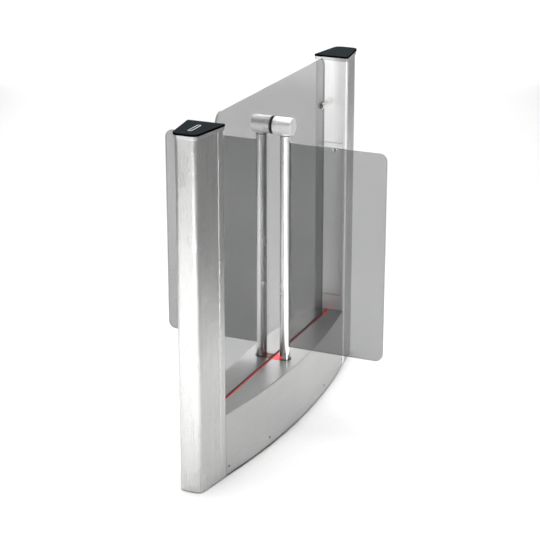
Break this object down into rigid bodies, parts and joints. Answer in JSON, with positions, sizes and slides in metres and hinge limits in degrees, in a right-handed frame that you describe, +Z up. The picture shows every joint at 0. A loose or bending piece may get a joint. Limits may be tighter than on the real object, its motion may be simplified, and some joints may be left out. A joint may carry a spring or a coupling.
{
  "type": "swing barrier gate",
  "caption": "Slim swing barrier gate: a low bowed base, tapered end posts, a fixed glass pane, and turning columns that each swing a glass wing across a lane.",
  "frame": {"origin": "centre of the bounding box's floor: the middle of the base's underside, on the floor", "axes": "+X across the lanes, towards the right wing's free edge; +Y along the base, towards the far post with the service door; +Z up"},
  "size_m": [0.6826, 1.124, 1.009],
  "materials": {
    "brushed_steel": "fine vertical brushing",
    "satin_aluminium": "satin",
    "polished_steel": "bright, lightly brushed",
    "dark_steel": "dark matt paint",
    "zinc_steel": "zinc plated",
    "cap_slate": "dark slate, satin",
    "black_plastic": "matt black",
    "black_rubber": "black rubber",
    "white_plastic": "white diffuser",
    "bush_plastic": "black bearing plastic",
    "red_light": "red diffuser over a lamp strip",
    "smoked_glass": "smoked clear glass",
    "circuit_board": "green circuit board",
    "motor_black": "black motor shell"
  },
  "bodies": {
    "housing": {"base_cover_left": "brushed_steel", "base_cover_right": "brushed_steel", "control_board": "circuit_board", "door_frame": "zinc_steel", "drive_bracket": "zinc_steel", "drive_motor_left": "motor_black", "drive_motor_right": "motor_black", "far_pane_pin": "polished_steel", "far_post_cap": "cap_slate", "far_post_collar": "satin_aluminium", "far_post_core": "zinc_steel", "far_post_face": "brushed_steel", "far_post_shell": "brushed_steel", "floor_plate": "dark_steel", "foot_bezel_left": "black_plastic", "foot_bezel_right": "black_plastic", "gearbox_left": "satin_aluminium", "gearbox_right": "satin_aluminium", "glass_pane": "smoked_glass", "head_bolt": "zinc_steel", "head_cap_left": "polished_steel", "head_cap_right": "polished_steel", "head_gasket_left": "black_rubber", "head_gasket_right": "black_rubber", "head_left": "polished_steel", "head_right": "polished_steel", "head_ring_left": "polished_steel", "head_ring_right": "polished_steel", "light_strip": "red_light", "lower_bearing_left": "zinc_steel", "lower_bearing_right": "zinc_steel", "near_pane_pin": "polished_steel", "near_post_cap": "cap_slate", "near_post_collar": "satin_aluminium", "near_post_core": "zinc_steel", "near_post_face": "brushed_steel", "near_post_shell": "brushed_steel", "pane_channel": "black_rubber", "power_supply": "zinc_steel", "status_board": "circuit_board", "status_rim": "white_plastic", "status_window": "black_plastic", "upper_bush_left": "bush_plastic", "upper_bush_right": "bush_plastic"},
    "left_column": {"column_tube_left": "polished_steel", "wing_clamp_left": "satin_aluminium", "column_plug_left": "polished_steel", "drive_spindle_left": "zinc_steel", "wing_left": "smoked_glass"},
    "right_column": {"column_tube_right": "polished_steel", "wing_clamp_right": "satin_aluminium", "column_plug_right": "polished_steel", "drive_spindle_right": "zinc_steel", "wing_right": "smoked_glass"},
    "service_door": {"service_door": "brushed_steel"},
    "door_lock": {"door_lock": "polished_steel"}
  },
  "joints": [
    {"name": "left_wing_turn", "type": "hinge", "parent": "housing", "child": "left_column", "pos_m": [-0.0372, 0, 0.1867], "axis": [0, 0, 1], "range_deg": [-90, 90]},
    {"name": "right_wing_turn", "type": "hinge", "parent": "housing", "child": "right_column", "pos_m": [0.0372, 0, 0.1867], "axis": [0, 0, 1], "range_deg": [-90, 90]},
    {"name": "service_door_turn", "type": "hinge", "parent": "housing", "child": "service_door", "pos_m": [-0.036, 0.436, 0.236], "axis": [0, 0, -1], "range_deg": [0, 50]},
    {"name": "door_lock_turn", "type": "hinge", "parent": "service_door", "child": "door_lock", "pos_m": [0.0127, 0.433, 0.7073], "axis": [0, -1, 0], "range_deg": [0, 90]}
  ]
}
